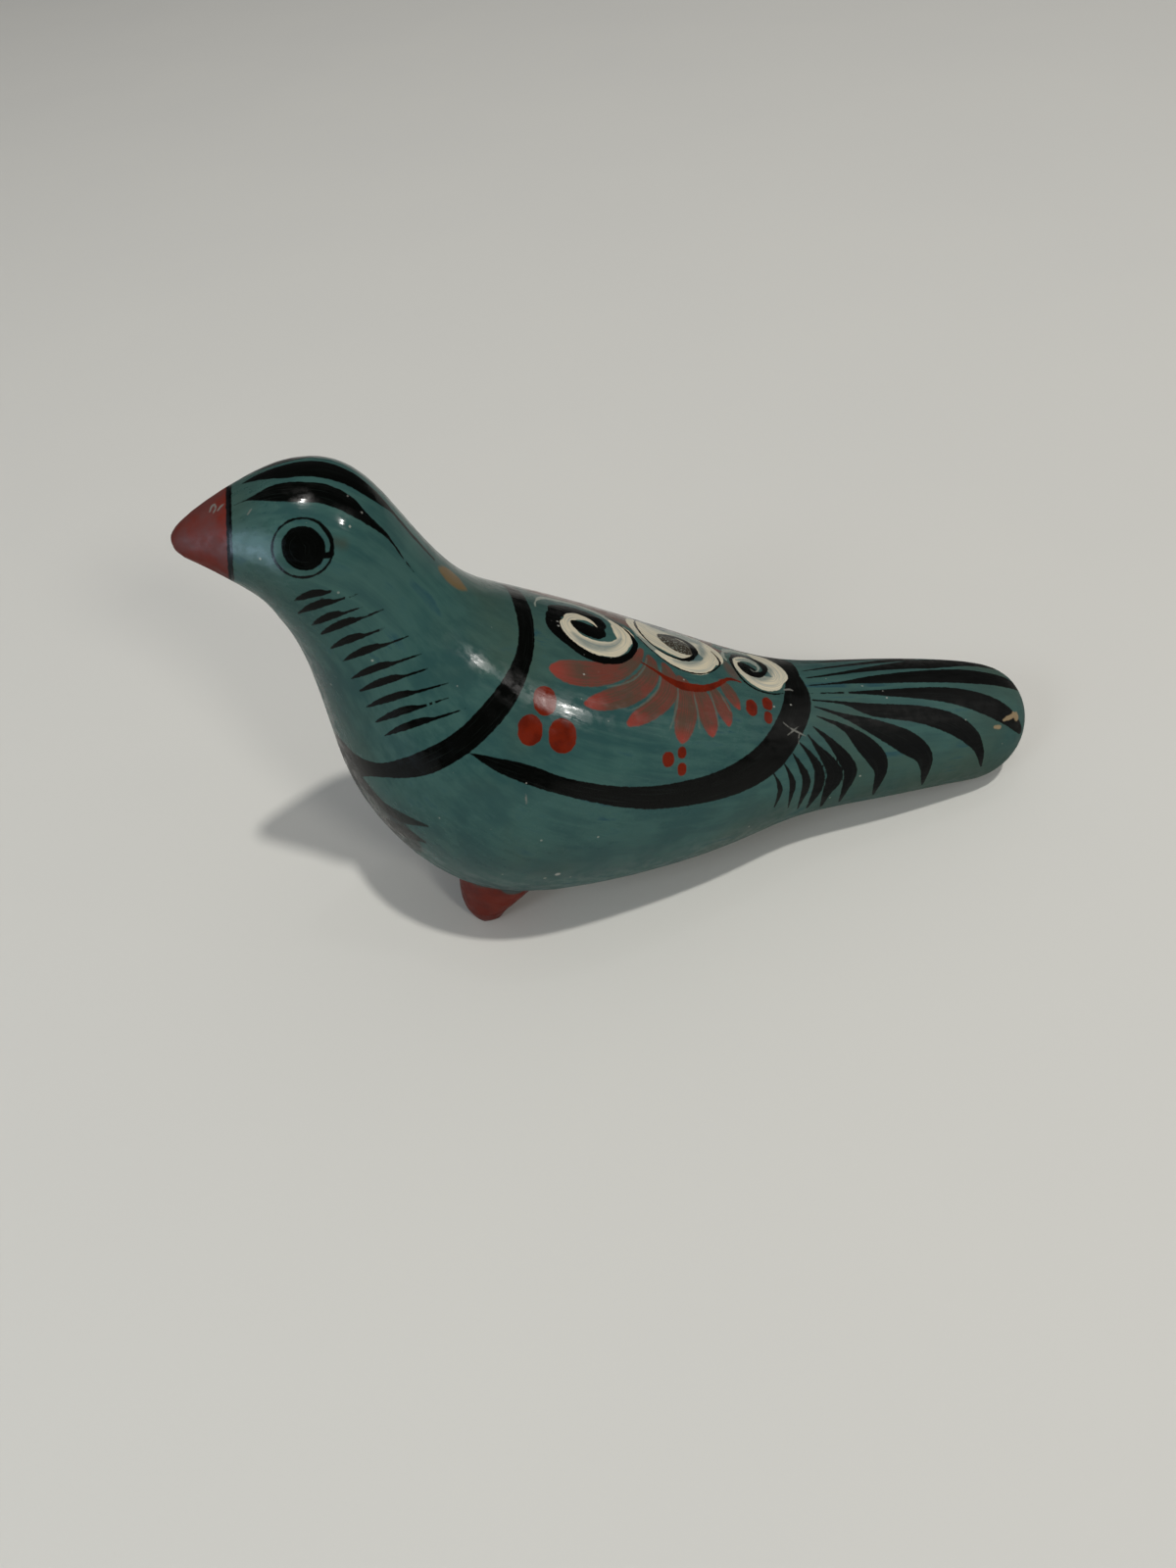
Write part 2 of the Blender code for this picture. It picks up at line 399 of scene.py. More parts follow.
# %% Read the strokes of the middle disc
pair = closeup(635, 620, 7.5)
MIDDLE_PALE = [(80, 96, 10), (62, 92, 18), (64, 112, 24), (95, 168, 27), (168, 256, 30),
               (252, 326, 32), (345, 392, 42), (420, 428, 46)]
MIDDLE_WHITE = [(340, 190, 10), (400, 207, 24), (470, 230, 34), (538, 262, 50), (604, 305, 72),
                (670, 368, 100), (668, 416, 106), (620, 456, 98), (540, 461, 84), (450, 438, 60),
                (350, 393, 42), (270, 340, 24)]
MIDDLE_INNER_WHITE = [(105, 108, 14), (150, 150, 70), (215, 200, 116), (290, 240, 128),
                      (357, 272, 134), (430, 310, 116), (490, 345, 60)]
MIDDLE_HAZE = [(596, 290, 16), (612, 346, 40), (592, 392, 46), (530, 424, 32), (460, 418, 22),
               (400, 404, 10)]
MIDDLE_UPPER_HAZE = [(110, 92, 8), (230, 142, 22), (350, 186, 30), (460, 226, 34), (560, 262, 26)]
MIDDLE_CORE = [(292, 216, 16), (340, 246, 58), (400, 280, 84), (455, 306, 76), (498, 326, 44)]
MIDDLE_CURL = [(112, 92, 4), (92, 100, 7), (95, 130, 8), (130, 188, 8), (200, 262, 8),
               (280, 325, 8), (350, 362, 9), (420, 391, 13), (480, 402, 20), (532, 390, 32),
               (556, 358, 36), (550, 322, 34), (520, 288, 28), (470, 254, 24), (400, 226, 22),
               (340, 213, 16), (284, 209, 5)]
MIDDLE_RIM = [(108, 215, 4), (200, 308, 8), (330, 412, 8), (450, 478, 9), (560, 508, 10),
              (650, 505, 11), (718, 470, 13), (750, 436, 14),
              (742, 405, 10), (715, 370, 8), (668, 325, 3)]
print("the middle disc's curl has", len(MIDDLE_CURL), "points")

# %% Wind the middle and the rear disc
REAR_PALE = [(795, 402, 7), (771, 368, 13), (772, 336, 15), (812, 331, 12), (880, 343, 14),
             (960, 362, 18), (1030, 386, 26)]
REAR_WHITE = [(985, 368, 12), (1040, 390, 32), (1108, 428, 52), (1166, 477, 76), (1198, 528, 96),
              (1176, 574, 92), (1114, 582, 98), (1040, 560, 92), (960, 506, 76), (893, 445, 50),
              (868, 410, 38), (895, 392, 26), (955, 402, 22), (1008, 426, 17)]
REAR_HAZE = [(1096, 440, 14), (1130, 480, 28), (1124, 526, 36), (1070, 548, 30), (1000, 536, 16)]
REAR_CURL = [(902, 430, 12), (928, 450, 48), (968, 480, 64), (1010, 502, 50), (1052, 512, 36),
             (1086, 492, 36), (1086, 460, 32), (1060, 432, 22), (1010, 404, 15), (950, 381, 13),
             (890, 368, 13), (846, 372, 18), (830, 396, 20), (850, 450, 13), (900, 525, 12),
             (960, 585, 11), (1040, 632, 11), (1120, 656, 10), (1180, 661, 10), (1240, 655, 5)]
REAR_TAIL = [(870, 400, 8), (955, 405, 20), (1008, 430, 18), (1040, 460, 14), (1034, 486, 8),
             (1004, 488, 5), (978, 468, 4)]

for rows in (MIDDLE_PALE, REAR_PALE):
    brush("thin", pair(rows), mirrored=False)
for rows in (MIDDLE_WHITE, MIDDLE_INNER_WHITE, REAR_WHITE):
    brush("white", pair(rows), mirrored=False)
for rows in (MIDDLE_HAZE, MIDDLE_UPPER_HAZE, REAR_HAZE):
    brush("haze", pair(rows), mirrored=False)
brush("core", pair(MIDDLE_CORE), mirrored=False)
brush("line", pair(MIDDLE_CURL), mirrored=False, widest=1.2)
brush("line", pair(MIDDLE_RIM), mirrored=False, widest=0.6)
brush("line", pair(REAR_CURL), mirrored=False)
brush("tail", pair(REAR_TAIL), mirrored=False)
print("now there are", len(marks), "marks")

# %% [markdown]
# Under the discs hangs a fan of thin rose petals, with paler gaps between them. The rose is so thin
# that the slip shows through, and it is thickest at each petal's tip, where the brush was set down. A
# little of it also shows between and behind the discs.

# %% Brush the petals
back = closeup(540, 600, 4.9)
PETALS = [
    [(112, 402, 22), (140, 408, 64), (190, 418, 108), (260, 427, 124), (350, 428, 118),
     (450, 405, 104), (530, 355, 70), (560, 310, 30)],
    [(288, 578, 30), (335, 573, 76), (400, 560, 104), (480, 535, 120), (550, 492, 122),
     (598, 440, 104), (610, 385, 60), (600, 345, 20)],
    [(500, 678, 30), (545, 650, 78), (615, 605, 100), (680, 545, 102), (705, 480, 88),
     (695, 425, 50), (675, 385, 20)],
    [(764, 760, 30), (770, 715, 84), (782, 640, 112), (787, 560, 98), (775, 500, 76), (755, 455, 30)],
    [(916, 732, 24), (908, 690, 66), (890, 625, 92), (868, 560, 78), (850, 510, 50)],
    [(998, 680, 20), (988, 640, 54), (964, 590, 66), (935, 540, 50), (915, 505, 30)],
    [(1048, 598, 16), (1025, 560, 46), (995, 515, 50), (965, 475, 30)],
]
PETAL_GAPS = [
    [(588, 350, 5), (574, 400, 9), (530, 452, 10), (460, 482, 10), (390, 494, 5)],
    [(655, 395, 5), (657, 440, 9), (645, 500, 10), (600, 556, 11), (540, 598, 9), (490, 612, 4)],
    [(742, 478, 4), (745, 530, 9), (738, 590, 10), (722, 655, 9), (700, 715, 6)],
    [(820, 512, 3), (832, 570, 8), (845, 630, 9), (850, 700, 8)],
    [(905, 522, 3), (920, 570, 8), (938, 630, 8), (948, 690, 6)],
    [(945, 512, 3), (975, 560, 7), (1006, 615, 7)],
]
FAR_ROSE = [(0, 100, 30), (150, 140, 24), (300, 176, 26), (450, 222, 36), (600, 275, 54),
            (700, 322, 68), (770, 350, 56), (800, 372, 26)]
BACK_ROSE = [[(640, 290, 10), (670, 306, 30), (705, 332, 30), (730, 352, 10)],
             [(792, 420, 16), (815, 460, 46), (850, 510, 50), (868, 545, 20)]]

for petal in PETALS:
    brush("rose", back(petal))
for gap in PETAL_GAPS:
    brush("gap", back(gap))
brush("blush", front_disc(FAR_ROSE), mirrored=False)
for rows in BACK_ROSE:
    brush("blush", pair(rows), mirrored=False)
print("with the petals there are", len(marks), "marks")

# %% [markdown]
# A brick-red crescent covers the petals' upper ends, and small groups of brick-red dots lie round the
# fan. A dot is one short touch of the brush, as wide as it is given and a little longer.

# %% Add the crescent and the dots
CRESCENT = [(560, 370, 5), (640, 420, 12), (700, 460, 24), (770, 490, 36), (870, 502, 34),
            (940, 482, 28), (1000, 455, 14), (1062, 472, 3)]
DOTS = [(556, 715, 23, 29), (541, 745, 25, 31), (574, 751, 28, 34), (682, 775, 12, 14),
        (696, 768, 9, 11), (696, 785, 9, 12), (767, 722, 11, 15), (783, 718, 10, 12), (784, 732, 8, 11)]

brush("brick", back(CRESCENT))
for x, y, wide, high in DOTS:
    brush("brick", [(x, y - (high - wide) / 2, wide), (x, y + (high - wide) / 2, wide)])
print("now there are", len(marks), "marks")

# %% [markdown]
# The tail is fanned with long black feathers. Each starts as a hairline at the wing's end, swells, and
# turns down into a hooked tip. Towards the belly they get short and close together.

# %% Brush the tail feathers
tail = closeup(740, 620, 4.612)
OUTER_FEATHER = [(355, 300, 3), (470, 283, 6), (600, 268, 9), (760, 252, 12), (900, 240, 10)]
FAR_FEATHER = [(372, 332, 4), (500, 316, 9), (600, 300, 14), (720, 284, 22), (850, 272, 32),
               (1000, 262, 42), (1120, 262, 40), (1210, 272, 26), (1275, 288, 10)]
MIDDLE_FEATHER = [(385, 367, 4), (560, 352, 12), (700, 338, 36), (900, 325, 50), (1100, 321, 58),
                  (1220, 332, 52), (1310, 350, 38), (1382, 385, 14)]
NEAR_FEATHER = [(400, 403, 5), (620, 398, 12), (800, 402, 38), (1000, 404, 62), (1150, 430, 82),
                (1280, 480, 88), (1350, 532, 58), (1392, 588, 10)]
SIDE_FEATHERS = [
    [(410, 435, 5), (560, 450, 16), (700, 482, 60), (900, 500, 80), (1050, 540, 96),
     (1150, 600, 84), (1196, 670, 42), (1205, 752, 4)],
    [(420, 465, 5), (560, 510, 24), (700, 562, 72), (850, 632, 112), (930, 690, 88),
     (944, 750, 46), (927, 832, 4)],
    [(430, 510, 5), (560, 565, 30), (650, 640, 84), (715, 710, 92), (732, 775, 52), (696, 880, 4)],
    [(415, 560, 5), (490, 625, 30), (560, 710, 62), (590, 770, 60), (568, 845, 30), (537, 912, 4)],
    [(390, 600, 5), (432, 655, 24), (480, 715, 54), (514, 775, 72), (508, 818, 62), (480, 870, 32),
     (450, 936, 4)],
    [(350, 635, 5), (398, 690, 24), (436, 752, 42), (444, 805, 46), (432, 860, 36), (405, 910, 16),
     (385, 942, 4)],
    [(318, 685, 4), (352, 740, 24), (380, 800, 36), (378, 850, 32), (358, 905, 14), (340, 947, 3)],
    [(278, 735, 4), (305, 785, 20), (318, 835, 28), (308, 890, 14), (296, 942, 3)],
    [(228, 780, 4), (250, 822, 18), (258, 862, 22), (246, 905, 12), (230, 942, 3)],
]
FEATHER_HALF = 3.0

for rows in (OUTER_FEATHER, FAR_FEATHER, MIDDLE_FEATHER, NEAR_FEATHER):
    brush("black", tail(rows), mirrored=False, widest=FEATHER_HALF)
for feather in SIDE_FEATHERS:
    brush("black", tail(feather))
print("now there are", len(marks), "marks in all")

# %% [markdown]
# Years on a shelf have left small marks: white scuffs and specks, chips of bare tan clay at the
# tail's end, a brown stain, and an orange patch behind the neck where the slip has worn thin. Along
# the fold where the foot joins the belly, a dark teal line is painted shade.

# %% Wear the surface, and paint shade into the foot's fold
SCUFFS = [
    [(214, 522, 1), (216, 517, 1.6), (219, 515, 1.6), (220, 519, 1.4), (216, 525, 0.8)],
    [(222, 521, 1), (225, 517, 1.4), (229, 514, 0.8)],
    [(256.5, 519.5, 0.8), (254.5, 522.5, 1.6), (252.5, 525, 0.8)],
    [(799, 737, 0.5), (805, 742, 0.9), (812, 746, 1.5), (822, 751, 0.5)],
    [(804, 750, 0.5), (809, 746, 1.2), (815, 741, 0.5)],
    [(816, 747, 0.5), (815, 753, 0.8), (815, 759, 0.5)],
    [(800, 704, 1), (805, 703.5, 1.5), (809, 704.5, 0.8)],
    [(536, 809, 1), (537, 815, 1.5), (537, 820, 1)],
]
SPECKS = [(395, 664, 3.4), (569, 892, 4.4), (556, 896, 2.2), (790, 721, 2.8), (807, 719, 2.4),
          (355, 506, 2.6), (369, 523, 3.2), (341, 487, 2.0), (356, 488, 2.2), (596, 688, 3.0),
          (602, 686, 2.0), (611, 686, 2.0), (208, 537, 2.0), (202, 551, 1.8), (216, 534, 2.2),
          (190, 545, 1.6), (462, 789, 2.0), (537, 799, 1.8), (313, 534, 2.4), (901, 705, 2.0),
          (905, 712, 1.8), (880, 700, 1.8), (569, 634, 2), (570, 638.5, 2.4), (562.5, 633, 1.6),
          (596.8, 668, 1.8), (623.4, 671, 2)]
TAN_CHIPS = [[(1024, 735, 2), (1030, 732, 4.5), (1037, 728, 3)], [(1034, 728, 3), (1037, 732, 5)],
             [(1015, 742, 3), (1020, 742, 4)]]
ORANGE_WORN = [(450, 582, 4), (457, 587, 9), (465, 593, 9), (474, 600, 3)]
BROWN_STAIN = [(343, 553, 8), (350, 555, 9)]
# A dark teal line of painted shade along the fold where the foot meets the belly.
FOOT_FOLD_SHADE = [(476, 893, 2), (492, 899, 3.4), (512, 906, 3.4), (533, 909, 2)]
SPECK_HALF = 0.3

for rows in SCUFFS:
    brush("scuff", rows, mirrored=False)
for x, y, width in SPECKS:
    brush("speck", [(x - SPECK_HALF, y, width / 2), (x + SPECK_HALF, y, width / 2)], mirrored=False)
for rows in TAN_CHIPS:
    brush("chip", rows, mirrored=False)
brush("worn", ORANGE_WORN, mirrored=False)
brush("stain", BROWN_STAIN, mirrored=False)
brush("fold_shade", FOOT_FOLD_SHADE)
print("with the wear there are", len(marks), "marks")

# %% [markdown]
# Real paint has an edge, and the skin's points have to know where it is. So each point learns how far
# inside each paint it lies, in millimetres. It also learns how far along the brush's run it is, and
# to which side, because the bristles left their streaks that way.

# %% Measure how deep a point lies in one mark
def depth_in(path, half, points, normals):
    """How far inside one mark the points lie, how far along it, to which side, and its half width."""
    start, step = path[:-1], np.diff(path, axis=0)
    length = np.maximum((step**2).sum(axis=1), 1e-9)
    offset = points[:, None, :] - start[None]
    share = np.clip((offset * step[None]).sum(axis=2) / length, 0, 1)
    away = offset - share[..., None] * step[None]
    distance = np.linalg.norm(away, axis=2)
    inside = half[:-1] + share * np.diff(half) - distance
    best = inside.argmax(axis=1)
    row = np.arange(len(points))
    gone = np.concatenate([[0], np.cumsum(np.sqrt(length))])
    along = gone[best] + share[row, best] * np.sqrt(length)[best]
    turn = np.cross(step[best], away[row, best])
    side = np.sign((turn * normals).sum(axis=1)) * distance[row, best]
    return inside[row, best], along, side, gone[-1], half[best]


print("the lesson has", len(marks), "marks to measure")

# %% Measure how deep each point lies in each paint
PAINTS = ("black", "wash", "smear", "white", "haze", "core", "line", "rose", "gap", "brick",
          "thin", "tail", "blush", "scuff", "speck", "chip", "worn", "stain", "fold_shade")
MARGIN = 4.0
DEEPEST = 6.0
SLIM = 0.6
MARK_APART = 100


def measure_paint():
    """Each point's depth in each paint, the brush's run there, and how near a slim mark's edge is."""
    mesh = skin.data
    points = np.empty(len(mesh.vertices) * 3, np.float32)
    normals = np.empty_like(points)
    mesh.vertices.foreach_get("co", points)
    mesh.vertex_normals.foreach_get("vector", normals)
    points, normals = points.reshape(-1, 3) / MM, normals.reshape(-1, 3)
    flip = np.where(points[:, 1:2] > 0, (1, -1, 1), (1, 1, 1))
    near_side = points * flip
    depths = {paint: np.full(len(points), -MARGIN) for paint in PAINTS}
    nearest = np.full(len(points), -MARGIN)
    run = np.zeros((len(points), 3))
    to_slim = np.full(len(points), MARGIN)
    for number, (paint, path, half, mirrored) in enumerate(marks):
        where = near_side if mirrored else points
        face = normals * flip if mirrored else normals
        margin = half.max() + MARGIN
        close = np.all((where > path.min(axis=0) - margin) & (where < path.max(axis=0) + margin), axis=1)
        found = np.flatnonzero(close)
        if not len(found):
            continue
        inside, along, side, total, half_here = depth_in(path, half, where[found], face[found])
        slim = found[half_here < SLIM]
        to_slim[slim] = np.minimum(to_slim[slim], np.abs(inside[half_here < SLIM]))
        inside = np.clip(inside, -MARGIN, DEEPEST)
        depths[paint][found] = np.maximum(depths[paint][found], inside)
        better = inside > nearest[found]
        nearest[found[better]] = inside[better]
        run[found[better]] = np.stack([along, side, along / total], axis=1)[better]
        run[found[better], 0] += MARK_APART * number
    return points, depths, run, to_slim


points, depths, run, to_slim = measure_paint()
print(sum(depths["black"] > 0), "of", len(points), "points lie in black paint")

# %% [markdown]
# A painted edge is only as sharp as the net of points that carries it. So the faces that an edge
# crosses are halved once, and those at a slim mark twice. The rest of the skin stays coarse, which
# keeps the net small.

# %% Halve the faces along the painted edges
EDGE_SPARE = 0.08
SLIM_SPARE = 0.12


def halve(chosen, where):
    """Halves the chosen faces once."""
    bpy.ops.object.mode_set(mode="EDIT")
    bpy.context.tool_settings.mesh_select_mode = (False, False, True)
    bpy.ops.mesh.select_all(action="DESELECT")
    bpy.ops.object.mode_set(mode="OBJECT")
    skin.data.polygons.foreach_set("select", chosen)
    bpy.ops.object.mode_set(mode="EDIT")
    bpy.ops.mesh.subdivide(number_cuts=1)
    bpy.ops.object.mode_set(mode="OBJECT")
    print("after halving at", where, "the net has", len(skin.data.polygons), "faces")


corners = [list(face.vertices) for face in skin.data.polygons]
crossed = np.zeros(len(corners), bool)
for depth in depths.values():
    deep = np.array([depth[corner].max() for corner in corners]) > -EDGE_SPARE
    shallow = np.array([depth[corner].min() for corner in corners]) < EDGE_SPARE
    crossed |= deep & shallow
halve(crossed, "every edge")

points, depths, run, to_slim = measure_paint()
corners = [list(face.vertices) for face in skin.data.polygons]
halve(np.array([to_slim[corner].min() < SLIM_SPARE for corner in corners]), "slim marks")

# %% [markdown]
# With its net finished, the skin is cut into triangles and shaded smooth. Each point then keeps its
# depth in every paint, where the material can read it.

# %% Keep the depths on the skin
def keep(name, values):
    """Keeps a number, or a place, at each point of the skin."""
    kind, slot = ("FLOAT", "value") if values.ndim == 1 else ("FLOAT_VECTOR", "vector")
    attribute = skin.data.attributes.new(name, kind, "POINT")
    attribute.data.foreach_set(slot, values.astype(np.float32).ravel())


bpy.ops.object.mode_set(mode="EDIT")
bpy.ops.mesh.select_all(action="SELECT")
bpy.ops.mesh.quads_convert_to_tris()
bpy.ops.object.mode_set(mode="OBJECT")
bpy.ops.object.shade_smooth()
points, depths, run, to_slim = measure_paint()
for paint, depth in depths.items():
    keep(paint, depth)
keep("brush_run", run)
print("the skin has", len(skin.data.polygons), "triangles")

# %% [markdown]
# The stone that burnished the clay was drawn from head to tail, and its fine streaks follow the bend
# of the neck. So each point also learns its place along the bird's middle line, and the streaks are
# drawn long in that direction and narrow across it.

# %% Lay out the burnisher's path
SPINE = [(92, 10), (40, 22), (0, 34), (-30, 50), (-48, 72), (-58, 95), (-70, 106), (-90, 107)]


def along_spine(points):
    """The place of each point along the middle line, with its offsets to the side and across."""
    line = smooth_row([(x, z) for x, z in SPINE])
    step = np.diff(line, axis=0)
    length = np.linalg.norm(step, axis=1)
    gone = np.concatenate([[0], np.cumsum(length)])
    flat = points[:, [0, 2]]
    offset = flat[:, None, :] - line[None, :-1]
    share = np.clip((offset * step).sum(axis=2) / length**2, 0, 1)
    away = offset - share[..., None] * step
    best = np.linalg.norm(away, axis=2).argmin(axis=1)
    row = np.arange(len(points))
    place = gone[best] + share[row, best] * length[best]
    across = step[best, 0] * away[row, best, 1] - step[best, 1] * away[row, best, 0]
    return np.stack([place, points[:, 1], across / length[best]], axis=1)


burnish = along_spine(points)
keep("burnish", burnish)
print("the burnisher's path is", burnish[:, 0].max().round(1), "mm long")

# %% [markdown]
# The beak and the feet are covered in brick red all round, as if dipped. The beak's paint ends at a
# leaning plane across the face, under a black line. A foot is a leaning cone that gets wider towards
# the belly, and its paint stops a little above the fold where it joins.

# %% Find the beak's line and the feet
BEAK_LINE_TOP = (233.5, 498)
BEAK_LINE_FOOT = (236, 588)
FOOT_PLACE = (-50.8, 11.6)
FOOT_ANKLE = 5.3
FOOT_WIDENING = (0.42, 0.25)
FOOT_LEAN = 0.57
FOOT_LEAN_FROM = 3.4
FOOT_HEIGHT = 12.5
FOOT_PAINT_SPARE = 1.13
FOOT_PAINT_ABOVE = 5

beak_top, beak_foot = touch(*BEAK_LINE_TOP), touch(*BEAK_LINE_FOOT)
lean = (beak_top[0] - beak_foot[0]) / (beak_top[2] - beak_foot[2])
keep("beak", beak_foot[0] + lean * (points[:, 2] - beak_foot[2]) - points[:, 0])
up = np.clip(points[:, 2], 0, FOOT_HEIGHT)
foot_x = points[:, 0] - FOOT_PLACE[0] - FOOT_LEAN * np.maximum(points[:, 2] - FOOT_LEAN_FROM, 0)
foot_y = np.abs(points[:, 1]) - FOOT_PLACE[1]
long_radius = FOOT_ANKLE + FOOT_WIDENING[0] * up
short_radius = FOOT_ANKLE + FOOT_WIDENING[1] * up
share_out = np.hypot(foot_x / long_radius, foot_y / short_radius)
to_paint_top = FOOT_HEIGHT + FOOT_PAINT_ABOVE - points[:, 2]
keep("foot", np.minimum((FOOT_PAINT_SPARE - share_out) * FOOT_ANKLE, to_paint_top))
print("the beak's line is at x", beak_top.round(1), "to", beak_foot.round(1), "lean", round(lean, 2))

# %% [markdown]
# The slip is a thin coat of coloured clay. The paint lies on it in thin coats, and a last rub gives
# everything the same soft gloss. The material is built in that same order. It starts with one helper
# that adds a node and joins it up, so that each later line can say what it is for.

# %% Start the material
material = bpy.data.materials.new("burnished slip and paint")
material.use_nodes = True
nodes, links = material.node_tree.nodes, material.node_tree.links
shader = nodes["Principled BSDF"]


def node(kind, settings=None, **inputs):
    """Adds one node. Its inputs are values or other nodes' sockets, by name, or by number as i0, i1."""
    made = nodes.new("ShaderNode" + kind)
    for name, value in (settings or {}).items():
        setattr(made, name, value)
    for name, value in inputs.items():
        socket = made.inputs[int(name[1:])] if name[0] == "i" and name[1:].isdigit() else made.inputs[name]
        if isinstance(value, bpy.types.NodeSocket):
            links.new(value, socket)
        else:
            socket.default_value = value
    return made


def depth_of(name):
    """The depth that the skin keeps under this name."""
    return node("Attribute", {"attribute_name": name}).outputs["Fac"]


print("the material is called", material.name)

# %% [markdown]
# Four more helpers do what the eye sees: two effects joined, a soft step from one level to another,
# one coat over another, and the cloudy unevenness of a coat laid by hand.

# %% Write the helpers for coats
def combine(a, b, how="ADD"):
    """The sum of two values, or another result of theirs."""
    return node("Math", {"operation": how}, i0=a, i1=b).outputs[0]


def ramp(value, low, high, to_low=0.0, to_high=1.0):
    """A value turned into a share, soft at both ends."""
    made = node("MapRange", {"interpolation_type": "SMOOTHSTEP"}, Value=value)
    made.inputs["From Min"].default_value = low
    made.inputs["From Max"].default_value = high
    made.inputs["To Min"].default_value = to_low
    made.inputs["To Max"].default_value = to_high
    return made.outputs["Result"]


def lay_over(under, over, share):
    """One coat over another."""
    made = node("Mix", {"data_type": "RGBA"}, i0=share, i6=under, i7=over)
    return made.outputs[2]


def noise(where, scale, stretch=(1, 1, 1), detail=3.0, roughness=0.55):
    """Cloudy noise. The stretch is how many times finer it is along each axis."""
    mapped = node("Mapping", Vector=where, Scale=stretch).outputs[0]
    return node("TexNoise", Vector=mapped, Scale=scale, Detail=detail, Roughness=roughness).outputs["Fac"]


print("the helpers are ready for", material.name)

# %% [markdown]
# The bird needs few colours: the slip's blue greens, black, white, brick red and a thin rose. Greys
# serve for wear, and tan for bare clay. Each colour is given as a screen shows it.

# %% Mix the colours
def color(red, green, blue):
    """A paint's colour, given as a screen shows it."""
    channel = [c / 255 for c in (red, green, blue)]
    linear = [c / 12.92 if c <= 0.04045 else ((c + 0.055) / 1.055) ** 2.4 for c in channel]
    return (*linear, 1)


SLIP_DEEP = color(42, 72, 71)
SLIP_PALE = color(56, 87, 82)
SLIP_GREY = color(58, 74, 63)
SLIP_BLUE = color(37, 69, 75)
BLACK = color(4, 5, 4)
GREY_BLACK = color(22, 28, 26)
SMEAR = color(22, 24, 23)
WHITE = color(198, 188, 163)
WHITE_GREY = color(158, 160, 150)
THIN_WHITE = color(132, 138, 128)
MIST = color(92, 110, 110)
CORE = color(56, 50, 42)
ROSE = color(106, 50, 39)
ROSE_BROWN = color(78, 60, 48)
ROSE_TIP = color(132, 50, 40)
BLUSH = color(92, 66, 58)
PALE_GAP = color(80, 94, 86)
BRICK = color(98, 28, 12)
BRICK_DARK = color(82, 23, 11)
BEAK_ROSE = color(88, 46, 42)
TAN = color(136, 118, 90)
SCUFF = color(108, 108, 102)
SPECK = color(150, 150, 142)
ORANGE = color(108, 82, 44)
BROWN = color(64, 58, 42)
print("the black is", [round(c, 4) for c in BLACK[:3]])

# %% [markdown]
# The slip is a blue green that the stone rubbed unevenly. Streaks run along the burnisher's path, and
# larger clouds of grey and blue lie where the coat dried thicker or thinner.

# %% Rub on the slip
place = node("TexCoord").outputs["Object"]
rubbed = node("Attribute", {"attribute_name": "burnish"}).outputs["Vector"]
clouds = noise(place, 22, detail=4)
patches = noise(place, 70, detail=3)
streaks = noise(rubbed, 1.0, stretch=(0.022, 0.5, 0.5), detail=5, roughness=0.62)
slip = lay_over(SLIP_DEEP, SLIP_PALE, ramp(combine(streaks, patches), 0.75, 1.25))
slip = lay_over(slip, SLIP_GREY, ramp(clouds, 0.46, 0.70, 0.0, 0.7))
slip = lay_over(slip, SLIP_BLUE, combine(ramp(streaks, 0.52, 0.66), ramp(patches, 0.5, 0.66), "MULTIPLY"))
print("the slip takes", len(nodes), "nodes")

# %% [markdown]
# A coat of paint lies wherever the skin is inside that paint. A little noise moves its edge as
# bristles do, and the streaks in it follow the brush's run.

# %% Make a coat with a brushed edge
stroke = node("Attribute", {"attribute_name": "brush_run"}).outputs["Vector"]
bristles = noise(stroke, 1.0, stretch=(0.08, 3.2, 0.0), detail=3)
ragged = noise(place, 900, detail=2)
edge_noise = node("Math", {"operation": "MULTIPLY_ADD"}, i0=ragged, i1=0.4, i2=-0.2).outputs[0]


def coat_of(name, soft=0.12, strength=1.0):
    """Where one paint lies, with an edge that a brush would leave."""
    return ramp(combine(depth_of(name), edge_noise), -soft, soft, 0.0, strength)


print("with the bristles there are", len(nodes), "nodes")

# %% [markdown]
# The thin paints come first: orange and brown stains in the slip, then the rose, which is denser at
# each petal's tip, and the pale gaps between the petals.

# %% Lay the thin coats
tip_share = node("SeparateXYZ", Vector=stroke).outputs["Z"]
thin_places = combine(bristles, noise(place, 160, detail=2))
rose_color = lay_over(ROSE, ROSE_BROWN, ramp(thin_places, 0.9, 1.1, 0.0, 0.9))
tip_edge = combine(tip_share, combine(bristles, 0.2, "MULTIPLY"))
rose_color = lay_over(ROSE_TIP, rose_color, ramp(tip_edge, 0.12, 0.38))
rose_thickness = ramp(bristles, 0.3, 0.7, 0.74, 0.97)
coats = lay_over(slip, ORANGE, coat_of("worn", 0.5, 0.75))
coats = lay_over(coats, BROWN, coat_of("stain", 1.2, 0.5))
coats = lay_over(coats, rose_color, combine(coat_of("rose", 0.25), rose_thickness, "MULTIPLY"))
coats = lay_over(coats, PALE_GAP, coat_of("gap", 0.15, 0.7))
coats = lay_over(coats, BLUSH, coat_of("blush", 0.9, 0.6))
print("with the thin coats there are", len(nodes), "nodes")

# %% [markdown]
# The strong colours follow in the painter's own order: brick red, then black, then the white of the
# discs, and last the black lines on the white. The black's bristle marks let a little grey through.

